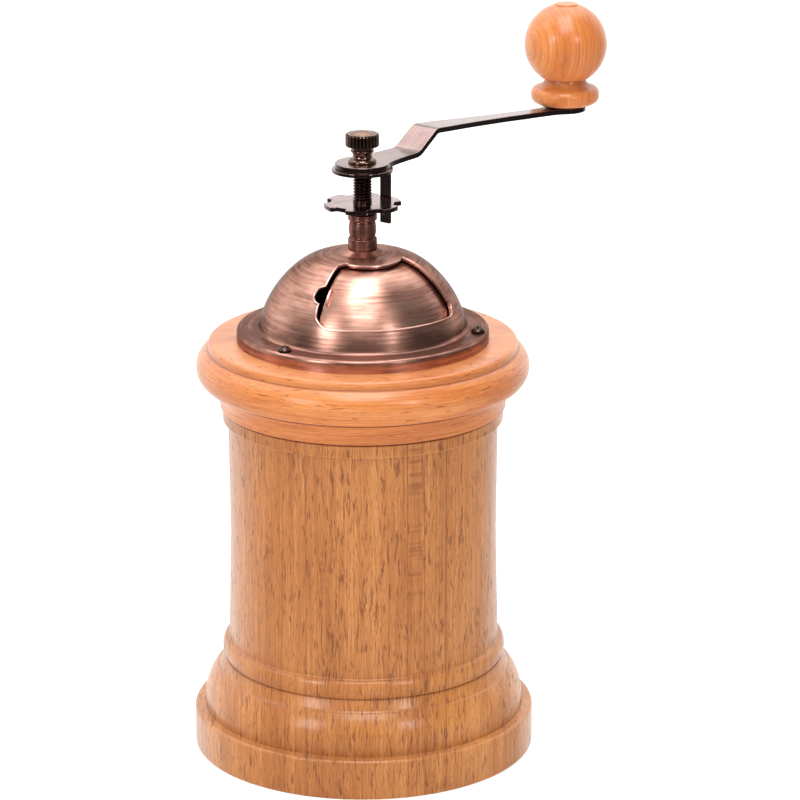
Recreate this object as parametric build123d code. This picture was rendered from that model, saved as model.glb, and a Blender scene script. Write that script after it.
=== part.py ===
"""Hand-cranked burr coffee grinder: turned beech body, copper-plated hopper dome, crank on top.

Millimetres. The origin is the centre of the foot, on the surface it stands on, and +Z is the
crank's axis. The three flange screws, the wheel's notches and the crank set the angles about it.
"""

import os
from math import asin, cos, degrees, radians, sin, sqrt

from build123d import *

# Beech body, radius and height
FOOT_R = 46.5  # plinth
PLINTH_TOP = 11.0
BEAD_Z = 27.85  # middle of the bead above the moulding
BEAD_TOP = 31.0
COLUMN_R = 36.2  # column at its waist
RIM_R = 37.9
RIM_TOP = 96.4  # the head rests here
CUP_R = 31.0  # grounds cup
CUP_FLOOR = 14.0
MOUTH_R = 33.2  # counterbore that takes the head's spigot
MOUTH_FLOOR = 88.3

# Beech head
SPIGOT_R = 32.9
SPIGOT_BOTTOM = 88.8
COLLAR_R = 44.9  # widest, on the torus
COLLAR_TOP = 114.6
DOME_SEAT_R = 32.9  # raised land inside the dome's skirt
DOME_SEAT_Z = 117.2
THROAT_R = 17.0
THROAT_TOP = 98.0
BOWL_R = 27.2

# Hopper dome, pressed from sheet
SHEET = 0.8
DOME_R = 28.6
DOME_Z = 112.6  # centre of the dome's sphere
SHOULDER_R = 16.0  # arc that rounds the sphere into the flat crown
SHOULDER_AT = 7.75  # radius of the flat crown
CROWN_Z = 138.5
FLANGE_R = 33.9
FLANGE_Z = 118.0
NECK_Z = 139.6  # top of the small neck under the bush

# Window in the dome and the shutter behind it
WINDOW_MID = -90.0  # polar angle of its middle
WINDOW_HALF = 49.5
WINDOW_LOW = 22.6  # elevations seen from the sphere's centre
WINDOW_HIGH = 62.6
NOTCH_R = 2.8  # finger notch in the left edge
NOTCH_ELEVATION = 42.0
SHUTTER_GAP = 0.45
SHUTTER_SHEET = 0.6
SHUTTER_FROM = -137.0  # polar angles of the closed shutter
SHUTTER_TO = -32.0
SHUTTER_LOW = 120.0
LIP_AT = -134.4

# Screws
SCREW_ANGLES = (-150.0, -30.0, 90.0)
FLANGE_SCREW_AT = 31.4
BURR_SCREW_AT = 23.5
SCREW_HEAD_R = 1.9
SCREW_SHANK_R = 1.1

# Shaft and the stack above the dome
SHAFT_R = 3.0  # below the bush
THREAD_R = 2.5  # M5 x 0.8 above it
RUNNING = 0.05  # radial clearance of every running fit
BUSH_R = 3.87
BUSH_TOP = 149.2
BUSH_BOTTOM = 133.4
WHEEL_R = 10.4
WHEEL_TOP = 152.3
WHEEL_DISC = 1.2
NOTCHES = 6
NOTCH_WIDTH = 4.3
NOTCH_DEPTH = 1.9
LOCK_R = 8.2
LOCK_TOP = 161.7
LOCK_SHEET = 1.0
TAB_WIDTH = 3.2
TAB_OUT = 10.2  # outer face of the tab
TAB_BOTTOM = 144.7
SQUARE = 3.54  # shaft's square under the crank

# Crank
CRANK_ANGLE = 31.0
CRANK_REACH = 89.0
ARM_SHEET = 1.5
ARM_TOP = 163.2
ARM_EYE_R = 7.3
ARM_END_R = 5.9
ARM_CROWN = 168.0  # top of the strip after its upward bend

# Thumb screw on the crank
THUMB_R = 4.5
THUMB_TOP = 171.9
THUMB_SHANK_R = 1.2
KNURLS = 28

# Knob
KNOB_BALL_R = 11.6
KNOB_BALL_Z = 180.7
KNOB_FOOT_Z = 163.9
KNOB_PIN_R = 2.0
PLUG_R = 3.2
PLUG_TOP = 192.3

# Burrs
BURR_TOP = 88.8
BURR_BOTTOM = 66.0
CONE_TOP = 80.8
CONE_BOTTOM = 68.0
CONE_R = 17.4
SPRING_R = 3.9
SPRING_WIRE = 0.45


def outline(start, *steps):
    """Face in the XZ plane. A step is a point, or (via, end) for an arc."""
    edges, here = [], start
    for step in steps:
        if isinstance(step[0], tuple):
            edges.append(ThreePointArc(here, *step))
            here = step[1]
        else:
            edges.append(Line(here, step))
            here = step
    if here != start:
        edges.append(Line(here, start))
    return Plane.XZ * make_face(edges)


def turned(start, *steps, angle=360):
    return revolve(outline(start, *steps), Axis.Z, angle)


def cap(radius, low, rise):
    """Arc step of a spherical cap, from its rim at (radius, low) to the axis."""
    sphere = (radius**2 + rise**2) / (2 * rise)
    half = asin(radius / sphere) / 2
    top = low + rise
    return (sphere * sin(half), top - sphere * (1 - cos(half))), (0, top)


def rod(radius, low, high):
    return Pos(0, 0, low) * extrude(Circle(radius), high - low)


def tube(outer, inner, low, high):
    return Pos(0, 0, low) * extrude(Circle(outer) - Circle(inner), high - low)


def spun(shape, angle):
    return Rot(0, 0, angle) * shape


def bar(width, depth, low, high):
    """Upright bar of rectangular section on the axis."""
    return Pos(0, 0, low) * extrude(Rectangle(width, depth), high - low)


# Body and head


def body_blank():
    """Plinth, moulding, bead, column and rim, hollowed into the grounds cup."""
    return turned(
        (0, 0),
        (FOOT_R - 0.6, 0),
        ((FOOT_R - 0.18, 0.18), (FOOT_R, 0.6)),
        (FOOT_R, PLINTH_TOP - 0.9),
        ((FOOT_R - 0.26, PLINTH_TOP - 0.26), (FOOT_R - 0.9, PLINTH_TOP)),
        (43.4, PLINTH_TOP + 0.1),
        ((42.95, 17.2), (40.2, 22.0)),
        ((39.6, 22.5), (39.2, 23.0)),
        (37.9, 25.1),
        ((37.65, 25.3), (37.9, 25.5)),
        ((38.7, BEAD_Z), (37.9, 30.2)),
        ((37.2, 30.5), (36.9, BEAD_TOP)),
        ((COLUMN_R, 60.0), (36.5, 91.6)),
        ((36.7, 92.4), (37.5, 92.8)),
        ((RIM_R - 0.1, 93.0), (RIM_R, 93.5)),
        (RIM_R, RIM_TOP),
        (MOUTH_R, RIM_TOP),
        (MOUTH_R, MOUTH_FLOOR),
        (CUP_R, MOUTH_FLOOR),
        (CUP_R, CUP_FLOOR),
        (0, CUP_FLOOR),
    )


def plinth():
    """Solid foot below the grounds cup."""
    return body_blank() & rod(FOOT_R + 1, 0, CUP_FLOOR)


def moulding():
    """Ring of ovolo, cove and bead round the lower part of the cup."""
    return body_blank() & tube(FOOT_R + 1, CUP_R, CUP_FLOOR, BEAD_TOP)


def body_column():
    """Hollow column above the bead, up to the rim that carries the head."""
    return body_blank() - rod(FOOT_R + 1, -1, BEAD_TOP)


def pilot_holes(radius, at, low, high):
    return [spun(Pos(at, 0, 0) * rod(radius, low, high), a) for a in SCREW_ANGLES]


def head_collar():
    """Spigot, flaring collar and torus, with the bean bowl and throat through it."""
    collar = turned(
        (THROAT_R, SPIGOT_BOTTOM),
        (SPIGOT_R, SPIGOT_BOTTOM),
        (SPIGOT_R, RIM_TOP),
        (38.3, RIM_TOP),
        ((38.52, RIM_TOP + 0.08), (38.6, RIM_TOP + 0.3)),
        ((39.05, 99.4), (40.3, 102.0)),
        ((41.3, 102.7), (42.9, 103.2)),
        ((COLLAR_R, 107.0), (42.4, 112.1)),
        (41.8, 112.3),
        (41.8, COLLAR_TOP - 1.0),
        ((41.5, COLLAR_TOP - 0.3), (40.8, COLLAR_TOP)),
        (DOME_SEAT_R, COLLAR_TOP),
        (DOME_SEAT_R, DOME_SEAT_Z),
        (BOWL_R, DOME_SEAT_Z),
        (BOWL_R, COLLAR_TOP),
        (THROAT_R, THROAT_TOP),
    )
    hole = SCREW_SHANK_R + 0.1
    collar -= pilot_holes(hole, FLANGE_SCREW_AT, DOME_SEAT_Z - 7, DOME_SEAT_Z)
    return collar - pilot_holes(hole, BURR_SCREW_AT, SPIGOT_BOTTOM, SPIGOT_BOTTOM + 7)


def shell_line(inset, low):
    """Right-hand outline of the dome, set in by a distance: flank, shoulder, crown."""
    sphere = DOME_R - inset
    shoulder = SHOULDER_R - inset
    shoulder_z = CROWN_Z - SHOULDER_R
    join = (shoulder_z - DOME_Z) / (DOME_R - SHOULDER_R)  # sine of the tangent point's elevation
    across = sqrt(1 - join**2)
    foot_r = sqrt(sphere**2 - (low - DOME_Z) ** 2)
    middle = radians(35.0)
    return {
        "foot": (foot_r, low),
        "flank": (sphere * cos(middle), DOME_Z + sphere * sin(middle)),
        "join": (sphere * across, DOME_Z + sphere * join),
        "shoulder": (
            SHOULDER_AT + shoulder * sin(radians(20.0)),
            shoulder_z + shoulder * cos(radians(20.0)),
        ),
        "crown": (SHOULDER_AT, CROWN_Z - inset),
    }


def window_cutter():
    """Wedge of the dome's wall between two meridians and two elevations, corners rounded."""
    near, far = 18.0, 36.0

    def at(distance, elevation):
        e = radians(elevation)
        return distance * cos(e), DOME_Z + distance * sin(e)

    wedge = turned(
        at(near, WINDOW_LOW),
        at(far, WINDOW_LOW),
        at(far, WINDOW_HIGH),
        at(near, WINDOW_HIGH),
        angle=2 * WINDOW_HALF,
    )
    left = WINDOW_MID - WINDOW_HALF
    wedge = spun(wedge, left)
    for elevation, angle, radius in (
        (WINDOW_LOW, left, 5.0),
        (WINDOW_LOW, left + 2 * WINDOW_HALF, 3.5),
        (WINDOW_HIGH, left, 2.0),
        (WINDOW_HIGH, left + 2 * WINDOW_HALF, 1.2),
    ):
        r, z = at((near + far) / 2, elevation)
        corner = Vector(r * cos(radians(angle)), r * sin(radians(angle)), z)
        edge = wedge.edges().sort_by(lambda e, p=corner: (e @ 0.5 - p).length)[0]
        wedge = fillet(edge, radius)
    inset = 0.6 / (DOME_R * cos(radians(NOTCH_ELEVATION)))
    notch = Rot(0, 90 - NOTCH_ELEVATION, 0) * rod(NOTCH_R, near, far)
    notch = spun(Pos(0, 0, DOME_Z) * notch, left + degrees(inset))
    return wedge + notch


def hopper_dome():
    """Sheet dome with a flat screwed-down flange, a short skirt and the filling window."""
    outer = shell_line(0, FLANGE_Z + 1.0)
    inner = shell_line(SHEET, FLANGE_Z - SHEET)
    foot_r = outer["foot"][0]
    dome = turned(
        (SHAFT_R + 0.02, NECK_Z),
        (4.3, NECK_Z),
        ((5.2, CROWN_Z + 0.25), outer["crown"]),
        (outer["shoulder"], outer["join"]),
        (outer["flank"], outer["foot"]),
        ((foot_r + 0.3, FLANGE_Z + 0.3), (foot_r + 1.0, FLANGE_Z)),
        (FLANGE_R - 0.9, FLANGE_Z),
        ((FLANGE_R - 0.26, FLANGE_Z - 0.26), (FLANGE_R, FLANGE_Z - 0.9)),
        (FLANGE_R, COLLAR_TOP),
        (DOME_SEAT_R + 0.1, COLLAR_TOP),
        (DOME_SEAT_R + 0.1, FLANGE_Z - SHEET),
        inner["foot"],
        (inner["flank"], inner["join"]),
        (inner["shoulder"], inner["crown"]),
        (SHAFT_R + 0.02, CROWN_Z - SHEET),
    )
    dome -= window_cutter()
    return dome - pilot_holes(
        SCREW_SHANK_R + 0.2, FLANGE_SCREW_AT, DOME_SEAT_Z - 1, FLANGE_Z + 1
    )


def wood_screw(seat, length):
    """Pan-head screw, head up, with a cross recess; its head sits at height seat."""
    rise = 1.4
    screw = turned(
        (0, seat - length),
        (SCREW_SHANK_R, seat - length + 1.5),
        (SCREW_SHANK_R, seat),
        (SCREW_HEAD_R, seat),
        (SCREW_HEAD_R, seat + 0.5),
        cap(SCREW_HEAD_R, seat + 0.5, rise - 0.5),
    )
    slot = bar(2.2, 0.45, seat + 0.7, seat + rise + 1)
    return screw - slot - spun(slot, 90)


def screw_set(name, at, seat, flip):
    """Three screws on a circle, each its own piece; flip turns the heads down."""
    made = {}
    for number, angle in enumerate(SCREW_ANGLES, 1):
        screw = wood_screw(0, 6.0)
        if flip:
            screw = Rot(180, 0, 0) * screw
        made[f"{name}_{number}"] = spun(Pos(at, 0, seat) * screw, angle)
    return made


# Hopper fittings


def upper_bush():
    """Ringed copper post: the crank shaft turns in it, and its stem clamps the dome."""
    bore = THREAD_R + RUNNING
    return turned(
        (bore, BUSH_BOTTOM),
        (SHAFT_R, BUSH_BOTTOM),
        (SHAFT_R, NECK_Z),
        (BUSH_R - 0.3, NECK_Z),
        (BUSH_R, NECK_Z + 0.3),
        (BUSH_R, 142.4),
        ((BUSH_R - 0.1, 142.6), (BUSH_R - 0.3, 142.65)),
        ((3.2, 142.85), (3.45, 143.1)),
        ((3.66, 145.0), (3.45, 147.0)),
        ((3.2, 147.25), (BUSH_R - 0.3, 147.5)),
        ((BUSH_R, 147.8), (BUSH_R, 148.2)),
        (BUSH_R, BUSH_TOP - 0.3),
        (BUSH_R - 0.3, BUSH_TOP),
        (bore, BUSH_TOP),
    )


def shutter_seat():
    return CROWN_Z - SHEET - SHUTTER_GAP - SHUTTER_SHEET


def shutter_washer():
    return tube(5.4, SHAFT_R + 0.02, shutter_seat() - 0.5, shutter_seat() - 0.1)


def bush_nut():
    top = shutter_seat() - 0.5
    nut = Pos(0, 0, BUSH_BOTTOM) * extrude(RegularPolygon(5.0, 6), top - BUSH_BOTTOM)
    return nut - rod(SHAFT_R + 0.02, BUSH_BOTTOM - 1, top + 1)


def shutter():
    """Sector of an inner dome that closes the window and turns about the bush's stem."""
    outer = shell_line(SHEET + SHUTTER_GAP, SHUTTER_LOW)
    inner = shell_line(SHEET + SHUTTER_GAP + SHUTTER_SHEET, SHUTTER_LOW)
    eye = SHAFT_R + RUNNING
    top = CROWN_Z - SHEET - SHUTTER_GAP
    shell = turned(
        (eye, top),
        outer["crown"],
        (outer["shoulder"], outer["join"]),
        (outer["flank"], outer["foot"]),
        inner["foot"],
        (inner["flank"], inner["join"]),
        (inner["shoulder"], inner["crown"]),
        (eye, top - SHUTTER_SHEET),
        angle=SHUTTER_TO - SHUTTER_FROM,
    )
    shell = spun(shell, SHUTTER_FROM) + tube(6.5, eye, top - SHUTTER_SHEET, top)
    out = DOME_R - SHEET - SHUTTER_GAP
    lip = Pos(0, 0, out - SHUTTER_SHEET / 2) * Box(
        5.0, 0.6, 1.9, align=(Align.CENTER, Align.CENTER, Align.MIN)
    )
    lip = Pos(0, 0, DOME_Z) * (Rot(0, 90 - NOTCH_ELEVATION, 0) * lip)
    return shell + spun(lip, LIP_AT)


# Burr set


def burr_ring():
    """Fixed outer burr: flange under the head, long conical ring with cutting flutes."""
    ring = turned(
        (15.3, BURR_TOP),
        (27.0, BURR_TOP),
        (27.0, BURR_TOP - 2.5),
        (21.5, BURR_TOP - 2.5),
        (21.0, BURR_BOTTOM),
        (18.2, BURR_BOTTOM),
    )
    flutes = 30
    for number in range(flutes):
        flute = Pos(15.3, 0, 0) * bar(1.6, 0.9, BURR_BOTTOM - 1, BURR_TOP + 1)
        ring -= spun(flute, number * 360 / flutes)
    return ring - pilot_holes(SCREW_SHANK_R + 0.2, BURR_SCREW_AT, BURR_TOP - 4, BURR_TOP + 1)


def bearing_bridge():
    """Three-armed bridge in the throat; its hub steadies the shaft above the burrs."""
    rise = 3.0
    bridge = tube(THROAT_R - 0.05, THROAT_R - 1.6, BURR_TOP, BURR_TOP + rise)
    bridge += rod(5.5, BURR_TOP, BURR_TOP + 8)
    for angle in (30.0, 150.0, 270.0):
        arm = Pos(THROAT_R / 2, 0, 0) * bar(THROAT_R - 2, 3.0, BURR_TOP, BURR_TOP + rise)
        bridge += spun(arm, angle)
    return bridge - rod(SHAFT_R + RUNNING, BURR_TOP - 1, BURR_TOP + 9)


def shaft_flats(clearance, low, high):
    """Flatted lower end that turns the inner burr."""
    return rod(THREAD_R + clearance, low, high) & bar(
        8, 2 * (1.9 + clearance), low, high
    )


def inner_burr():
    """Turning cone, its cutting flutes slanted across the flank."""
    cone = turned(
        (0, CONE_TOP),
        (6.5, CONE_TOP),
        (8.0, CONE_TOP - 1.5),
        (CONE_R, CONE_BOTTOM + 3.0),
        (CONE_R, CONE_BOTTOM),
        (0, CONE_BOTTOM),
    )
    flutes = 14
    slope = 37.0
    for number in range(flutes):
        flute = Pos(13.6, 0, 75.6) * (Rot(0, -slope, 0) * (Rot(0, 0, 22) * Box(1.6, 1.5, 22)))
        cone -= spun(flute, number * 360 / flutes)
    return cone - shaft_flats(RUNNING, CONE_BOTTOM - 1, CONE_TOP + 1)


def burr_washer():
    low = CONE_BOTTOM - 1.2
    return tube(6.0, THREAD_R + RUNNING, low, CONE_BOTTOM)


def burr_nut():
    low, high = CONE_BOTTOM - 5.2, CONE_BOTTOM - 1.2
    nut = Pos(0, 0, low) * extrude(RegularPolygon(4.6, 6), high - low)
    return nut - rod(THREAD_R + 0.02, low - 1, high + 1)


def burr_spring():
    """Compression spring between the bridge's hub and the inner burr."""
    low = CONE_TOP + SPRING_WIRE + 0.05
    high = BURR_TOP - SPRING_WIRE - 0.05
    coils = 5
    helix = Helix(pitch=(high - low) / coils, height=high - low, radius=SPRING_R)
    section = Plane(origin=helix @ 0, z_dir=helix % 0) * Circle(SPRING_WIRE)
    return Pos(0, 0, low) * sweep(section, path=helix, is_frenet=True)


# Shaft and adjustment


def drive_shaft():
    """Crank shaft: flats below, plain journal, M5 thread, square for the crank on top."""
    foot = CONE_BOTTOM - 6.6
    thread_from = BURR_BOTTOM - 3.3
    square_from = LOCK_TOP - LOCK_SHEET
    shaft = rod(THREAD_R, foot, thread_from)
    shaft += shaft_flats(0, thread_from, CONE_TOP)
    shaft += rod(SHAFT_R, CONE_TOP, BUSH_BOTTOM - 0.8)
    shaft += rod(THREAD_R, BUSH_BOTTOM - 0.8, square_from)
    shaft += bar(SQUARE, SQUARE, square_from, ARM_TOP - 0.05)
    return shaft - rod(THUMB_SHANK_R + RUNNING, ARM_TOP - 9.0, ARM_TOP + 1)


def adjusting_wheel():
    """Notched nut: its height on the thread sets the gap between the burrs."""
    under = WHEEL_TOP - WHEEL_DISC
    wheel = turned(
        (0, BUSH_TOP),
        (3.2, BUSH_TOP),
        (3.4, BUSH_TOP + 0.2),
        (3.4, under),
        (WHEEL_R - 0.2, under),
        (WHEEL_R, under + 0.2),
        (WHEEL_R, WHEEL_TOP - 0.2),
        (WHEEL_R - 0.2, WHEEL_TOP),
        (0, WHEEL_TOP),
    )
    for number in range(NOTCHES):
        deep = Pos(WHEEL_R - NOTCH_DEPTH + 2, 0, 0) * bar(4, NOTCH_WIDTH, under - 1, WHEEL_TOP + 1)
        wheel -= spun(deep, CRANK_ANGLE + number * 360 / NOTCHES)
    return wheel - rod(THREAD_R + RUNNING, BUSH_TOP - 1, WHEEL_TOP + 1)


def lock_plate():
    """Washer with a bent tab that reaches down through a notch of the wheel."""
    low = LOCK_TOP - LOCK_SHEET
    plate = rod(LOCK_R, low, LOCK_TOP)
    plate += Pos(TAB_OUT / 2, 0, 0) * bar(TAB_OUT, TAB_WIDTH, low, LOCK_TOP)
    plate += Pos(TAB_OUT - LOCK_SHEET / 2, 0, 0) * bar(
        LOCK_SHEET, TAB_WIDTH, TAB_BOTTOM, LOCK_TOP
    )
    bend = plate.edges().filter_by(Axis.Y).sort_by(lambda e: (e @ 0.5).X + (e @ 0.5).Z)[-1]
    plate = fillet(bend, 0.8)
    side = SQUARE + 2 * RUNNING
    return spun(plate, CRANK_ANGLE) - spun(bar(side, side, low - 1, LOCK_TOP + 1), 0)


# Crank and knob


def crank_arm():
    """Flat strip cranked upwards near the shaft, tapering to the knob's eye."""
    middle = ARM_SHEET / 2
    route = FilletPolyline(
        (-ARM_EYE_R - 2, 0, ARM_TOP - middle),
        (18.0, 0, ARM_TOP - middle),
        (26.8, 0, ARM_CROWN - middle + 0.3),
        (56.0, 0, 166.4 - middle),
        (81.5, 0, ARM_TOP - middle),
        (CRANK_REACH + ARM_END_R + 2, 0, ARM_TOP - middle),
        radius=4.0,
    )
    section = Plane(origin=route @ 0, z_dir=route % 0, x_dir=(0, 1, 0)) * Rectangle(
        20, ARM_SHEET
    )
    strip = sweep(section, path=route, transition=Transition.ROUND)
    half = [(0, 5.2), (12, 4.5), (32, 4.25), (60, 2.6), (80, 2.6), (CRANK_REACH, 4.6)]
    sides = half + [(x, -y) for x, y in reversed(half)]
    plan = make_face(Polyline(*sides, close=True)) + Circle(ARM_EYE_R)
    plan += Pos(CRANK_REACH, 0) * Circle(ARM_END_R)
    arm = strip & (Pos(0, 0, ARM_TOP - 10) * extrude(plan, 30))
    arm = spun(arm, CRANK_ANGLE)
    side = SQUARE + 2 * RUNNING
    arm -= bar(side, side, ARM_TOP - 3, ARM_TOP + 3)
    return arm - at_knob(rod(1.45, ARM_TOP - 3, ARM_TOP + 3))


def at_knob(shape):
    return spun(Pos(CRANK_REACH, 0, 0) * shape, CRANK_ANGLE)


def screw_washer():
    """Captive flared washer under the thumb screw."""
    return turned(
        (1.55, ARM_TOP),
        (3.8, ARM_TOP),
        (3.8, ARM_TOP + 0.45),
        ((3.45, ARM_TOP + 0.95), (2.9, ARM_TOP + 1.3)),
        (1.55, ARM_TOP + 1.3),
    )


def thumb_screw():
    """Knurled screw that clamps the crank on the shaft's square."""
    head_low, head_high = 167.6, 171.1
    stem = turned(
        (0, ARM_TOP - 8.0),
        (THUMB_SHANK_R - 0.3, ARM_TOP - 8.0),
        (THUMB_SHANK_R, ARM_TOP - 7.6),
        (THUMB_SHANK_R, ARM_TOP),
        (1.5, ARM_TOP),
        (1.5, ARM_TOP + 1.3),
        (2.75, ARM_TOP + 1.3),
        ((2.6, 165.4), (2.75, 166.0)),
        (3.1, 166.15),
        (3.1, 166.6),
        (2.9, 166.75),
        (2.9, head_low),
        (3.5, head_low),
        (3.5, head_high),
        (3.3, head_high - 0.2),
        (3.1, head_high - 0.05),
        cap(3.1, head_high - 0.05, THUMB_TOP - head_high + 0.05),
    )
    groove = Pos(THUMB_R, 0) * (Rot(0, 0, 45) * Rectangle(0.45, 0.45))
    grooves = [spun(groove, number * 360 / KNURLS) for number in range(KNURLS)]
    grip = Circle(THUMB_R) - Circle(3.5) - grooves
    return stem + Pos(0, 0, head_low) * extrude(grip, head_high - head_low)


def knob_pin():
    """Shouldered rivet: upset under the arm, headed inside the knob."""
    return at_knob(
        turned(
            (0, 160.7),
            (1.1, 160.7),
            ((1.35, 160.8), (1.4, 161.1)),
            (1.4, ARM_TOP),
            (KNOB_PIN_R, ARM_TOP),
            (KNOB_PIN_R, 185.1),
            (2.9, 185.1),
            (2.9, 186.3),
            (0, 186.3),
        )
    )


def knob_washer():
    return at_knob(tube(5.6, KNOB_PIN_R + RUNNING, ARM_TOP, ARM_TOP + 0.6))


def knob():
    """Turned ball on a cove neck and a rounded foot, bored for the pin."""
    lift = KNOB_BALL_Z
    ball = KNOB_BALL_R
    mouth_z = lift + sqrt(ball**2 - (PLUG_R + 0.02) ** 2)
    return at_knob(
        turned(
            (KNOB_PIN_R + RUNNING, KNOB_FOOT_Z),
            (8.0, KNOB_FOOT_Z),
            ((9.35, 164.9), (9.65, 166.4)),
            ((9.2, 167.9), (8.0, 168.7)),
            ((6.2, 169.8), (5.6, 171.6)),
            ((5.95, 172.6), (6.7, lift - sqrt(ball**2 - 6.7**2))),
            ((ball, lift), (PLUG_R + 0.02, mouth_z)),
            (PLUG_R + 0.02, 184.9),
            (KNOB_PIN_R + RUNNING, 184.9),
        )
    )


def knob_plug():
    """Wooden button that hides the pin's head."""
    return at_knob(
        turned(
            (0, 186.8),
            (PLUG_R, 186.8),
            (PLUG_R, PLUG_TOP - 0.35),
            ((PLUG_R - 0.15, PLUG_TOP - 0.15), (PLUG_R - 0.45, PLUG_TOP - 0.08)),
            (0, PLUG_TOP),
        )
    )


def main():
    os.makedirs("parts", exist_ok=True)
    pieces = (
        plinth,
        moulding,
        body_column,
        head_collar,
        hopper_dome,
        upper_bush,
        bush_nut,
        shutter_washer,
        shutter,
        burr_ring,
        bearing_bridge,
        inner_burr,
        burr_washer,
        burr_nut,
        burr_spring,
        drive_shaft,
        adjusting_wheel,
        lock_plate,
        crank_arm,
        screw_washer,
        thumb_screw,
        knob_pin,
        knob_washer,
        knob,
        knob_plug,
    )
    made = {make.__name__: make() for make in pieces}
    made |= screw_set("flange_screw", FLANGE_SCREW_AT, FLANGE_Z, flip=False)
    made |= screw_set("burr_screw", BURR_SCREW_AT, BURR_TOP - 2.5, flip=True)
    for node, shape in made.items():
        export_step(shape, f"parts/{node}.step")


main()
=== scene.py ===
"""Looks of the hand-cranked burr coffee grinder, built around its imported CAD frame.

Blender works in metres. Outlines and shader coordinates here are in millimetres.
"""

from math import asin, atan2, ceil, cos, degrees, hypot, pi, radians, sin, sqrt, tan

import bmesh
import bpy
import numpy as np
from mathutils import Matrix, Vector
from mathutils.geometry import delaunay_2d_cdt


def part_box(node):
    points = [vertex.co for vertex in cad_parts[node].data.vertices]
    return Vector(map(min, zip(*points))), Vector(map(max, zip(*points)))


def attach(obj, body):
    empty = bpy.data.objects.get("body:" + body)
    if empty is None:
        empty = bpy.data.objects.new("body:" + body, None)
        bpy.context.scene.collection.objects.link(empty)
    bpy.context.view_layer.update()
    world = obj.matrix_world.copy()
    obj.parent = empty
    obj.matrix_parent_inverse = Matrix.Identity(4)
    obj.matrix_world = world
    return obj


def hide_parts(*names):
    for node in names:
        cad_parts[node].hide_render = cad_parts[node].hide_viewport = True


MM = 0.001
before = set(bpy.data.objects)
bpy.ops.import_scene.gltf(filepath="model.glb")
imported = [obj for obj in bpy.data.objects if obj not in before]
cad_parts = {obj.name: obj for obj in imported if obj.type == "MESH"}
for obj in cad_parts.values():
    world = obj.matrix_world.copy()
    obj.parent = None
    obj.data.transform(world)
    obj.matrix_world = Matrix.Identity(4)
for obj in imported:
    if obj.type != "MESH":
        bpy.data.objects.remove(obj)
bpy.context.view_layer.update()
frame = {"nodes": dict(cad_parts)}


def span(node):
    """A CAD node's lowest and highest corner, in millimetres."""
    low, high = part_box(node)
    return low / MM, high / MM


# Sizes read from the frame
FOOT_R = span("plinth")[1].x
RIM_TOP = span("body_column")[1].z
COLLAR_R = span("head_collar")[1].x
DOME_FLANGE_R = span("hopper_dome")[1].x
COLLAR_TOP = span("hopper_dome")[0].z
NECK_Z = span("hopper_dome")[1].z
WHEEL_LOW, WHEEL_TOP = (corner.z for corner in span("adjusting_wheel"))
LOCK_TOP = span("lock_plate")[1].z
TAB_BOTTOM = span("lock_plate")[0].z
ARM_TOP = span("screw_washer")[0].z
KNOB_FOOT = span("knob")[0].z
KNOB_AT = (span("knob")[0] + span("knob")[1]) / 2
PLUG_TOP = span("knob_plug")[1].z
SHAFT_FOOT, SHAFT_TOP = (corner.z for corner in span("drive_shaft"))

CRANK_ANGLE = atan2(KNOB_AT.y, KNOB_AT.x)
CRANK_REACH = hypot(KNOB_AT.x, KNOB_AT.y)

# Dome, window and shutter, as in the CAD part; only the window's edges sit a little higher
DOME_R, DOME_Z = 28.6, 112.6
SHOULDER_R, SHOULDER_AT, CROWN_Z = 16.0, 7.75, 138.5
FLANGE_Z = 118.0
SHEET, SHUTTER_GAP, SHUTTER_SHEET = 0.8, 0.45, 0.6
WINDOW_MID, WINDOW_HALF = radians(-90.0), radians(49.5)
WINDOW_LOW, WINDOW_HIGH, WINDOW_PEAKS = radians(23.4), radians(63.4), 1.5
NOTCH_R, NOTCH_ELEVATION = 2.8, radians(42.0)

# Studio camera
CAMERA_AZIMUTH = radians(-19.0)  # from the window's side, about the axis
CAMERA_AWAY, CAMERA_HEIGHT = 1.0075, 0.4071  # metres
CAMERA_DIP = radians(17.1)
AIM_RIGHT = 0.0100  # metres beside the axis
LENS, SENSOR = 175.5, 36.0  # millimetres

# Brightness of the room behind the camera and of the white sweep behind the grinder
ROOM_LIGHT, SWEEP_LIGHT = 0.13, 1.20
SWEEP_AZIMUTH = CAMERA_AZIMUTH + radians(14.0)
SWEEP_RISE = 0.35  # upward lean of the direction in which the sweep is brightest


# Mesh building


def arc(start, via, end, step=6.0):
    """Points after start on the arc through via to end, one per step degrees."""
    (ax, ay), (bx, by), (cx, cy) = start, via, end
    d = 2 * (ax * (by - cy) + bx * (cy - ay) + cx * (ay - by))
    a2, b2, c2 = ax * ax + ay * ay, bx * bx + by * by, cx * cx + cy * cy
    ox = (a2 * (by - cy) + b2 * (cy - ay) + c2 * (ay - by)) / d
    oy = (a2 * (cx - bx) + b2 * (ax - cx) + c2 * (bx - ax)) / d
    radius = hypot(ax - ox, ay - oy)
    first = atan2(ay - oy, ax - ox)
    turn = (atan2(cy - oy, cx - ox) - first) % (2 * pi)
    if (atan2(by - oy, bx - ox) - first) % (2 * pi) > turn:
        turn -= 2 * pi
    count = max(2, ceil(abs(degrees(turn)) / step))
    angles = (first + turn * i / count for i in range(1, count + 1))
    return [(ox + radius * cos(a), oy + radius * sin(a)) for a in angles]


def profile(start, *steps, step=6.0):
    """Outline points. A step is a point, or (via, end) for an arc."""
    points = [start]
    for each in steps:
        if isinstance(each[0], tuple):
            points += arc(points[-1], *each, step=step)
        else:
            points.append(each)
    return points


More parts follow.
